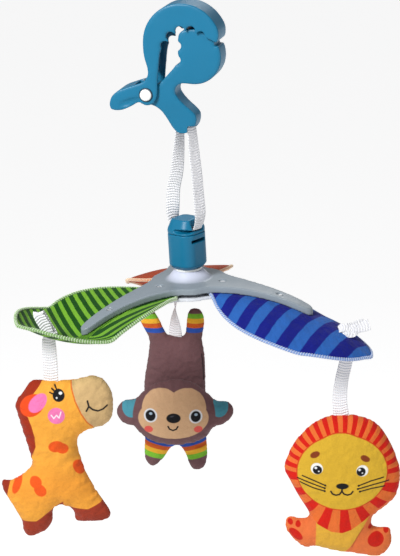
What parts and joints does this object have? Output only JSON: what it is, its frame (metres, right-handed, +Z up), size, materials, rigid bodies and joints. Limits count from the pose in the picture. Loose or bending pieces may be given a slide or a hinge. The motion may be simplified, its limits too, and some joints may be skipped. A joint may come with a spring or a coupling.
{
  "type": "crib mobile",
  "caption": "Clip-on crib mobile: a spring clamp and strap carry a swivel hub and a three-armed frame with leaf-shaped petals and stuffed animal toys on ribbons.",
  "frame": {"origin": "centre of the clamp's grip, between the two jaws", "axes": "+Z up along the hanging direction, -Y the side that the toys face, +X to the right when seen from that side"},
  "size_m": [0.2956, 0.2488, 0.413],
  "materials": {
    "teal_plastic": "satin moulded plastic",
    "grey_plastic": "satin moulded plastic",
    "pale_plastic": "satin moulded plastic",
    "white_plastic": "glossy moulded plastic",
    "steel": "plain steel",
    "white_tape": "knitted polyester tape",
    "green_fabric": "padded striped woven fabric",
    "blue_fabric": "padded striped woven fabric",
    "orange_fabric": "padded striped woven fabric",
    "giraffe_fabric": "printed woven polyester, stuffed",
    "lion_fabric": "printed woven polyester, stuffed",
    "monkey_fabric": "printed woven polyester, stuffed"
  },
  "bodies": {
    "clamp": {"inner_jaw": "teal_plastic", "pivot_pin": "steel", "pivot_caps": "white_plastic", "jaw_spring": "steel"},
    "outer_jaw": {"outer_jaw": "teal_plastic"},
    "strap": {"hang_strap": "white_tape"},
    "hub": {"hub_cap": "teal_plastic", "hub_body": "teal_plastic"},
    "frame": {"spindle": "pale_plastic", "thrust_washer": "white_plastic", "spindle_screw": "steel", "frame_top": "grey_plastic", "frame_bottom": "pale_plastic", "frame_screws": "steel", "petal_green": "green_fabric", "petal_blue": "blue_fabric", "petal_orange": "orange_fabric", "knot_green": "white_tape", "knot_blue": "white_tape", "knot_orange": "white_tape"},
    "giraffe_ribbon": {"ribbon_giraffe": "white_tape"},
    "lion_ribbon": {"ribbon_lion": "white_tape"},
    "monkey_ribbon": {"ribbon_monkey": "white_tape"},
    "giraffe": {"giraffe": "giraffe_fabric"},
    "lion": {"lion": "lion_fabric"},
    "monkey": {"monkey_body": "monkey_fabric", "monkey_head": "monkey_fabric"}
  },
  "joints": [
    {"name": "jaw_hinge", "type": "hinge", "parent": "clamp", "child": "outer_jaw", "pos_m": [-0.02046, 0.00472, -0.033], "axis": [-0.225, -0.9744, 0], "range_deg": [0, 28], "stiffness_Nm_per_rad": 0.3, "springref_deg": -34.38, "deforming": ["jaw_spring"]},
    {"name": "strap_swing", "type": "hinge", "parent": "clamp", "child": "strap", "pos_m": [0.00555, -0.00128, -0.0572], "axis": [0.6428, 0.766, 0], "range_deg": [-40, 40], "deforming": ["hang_strap"]},
    {"name": "hub_rock", "type": "hinge", "parent": "strap", "child": "hub", "pos_m": [0.00555, -0.00128, -0.1342], "axis": [0.6428, 0.766, 0], "range_deg": [-20, 20], "deforming": ["hang_strap"]},
    {"name": "frame_spin", "type": "hinge", "parent": "hub", "child": "frame", "pos_m": [0.00761, -0.00128, -0.17154], "axis": [-0.055, 0, 0.9985], "continuous": true},
    {"name": "giraffe_swing", "type": "hinge", "parent": "frame", "child": "giraffe_ribbon", "pos_m": [-0.09255, -0.07623, -0.19479], "axis": [1, 0, 0], "range_deg": [-30, 30]},
    {"name": "giraffe_twist", "type": "hinge", "parent": "giraffe_ribbon", "child": "giraffe", "pos_m": [-0.09255, -0.07623, -0.22724], "axis": [0, 0, 1], "range_deg": [-90, 90]},
    {"name": "lion_swing", "type": "hinge", "parent": "frame", "child": "lion_ribbon", "pos_m": [0.12226, -0.05033, -0.2021], "axis": [1, 0, 0], "range_deg": [-22, 22]},
    {"name": "lion_twist", "type": "hinge", "parent": "lion_ribbon", "child": "lion", "pos_m": [0.12226, -0.05033, -0.26405], "axis": [0, 0, 1], "range_deg": [-90, 90]},
    {"name": "monkey_swing", "type": "hinge", "parent": "frame", "child": "monkey_ribbon", "pos_m": [-0.00309, 0.11806, -0.20623], "axis": [1, 0, 0], "range_deg": [-22, 22]},
    {"name": "monkey_twist", "type": "hinge", "parent": "monkey_ribbon", "child": "monkey", "pos_m": [-0.00309, 0.11806, -0.25918], "axis": [0, 0, 1], "range_deg": [-60, 60]}
  ]
}
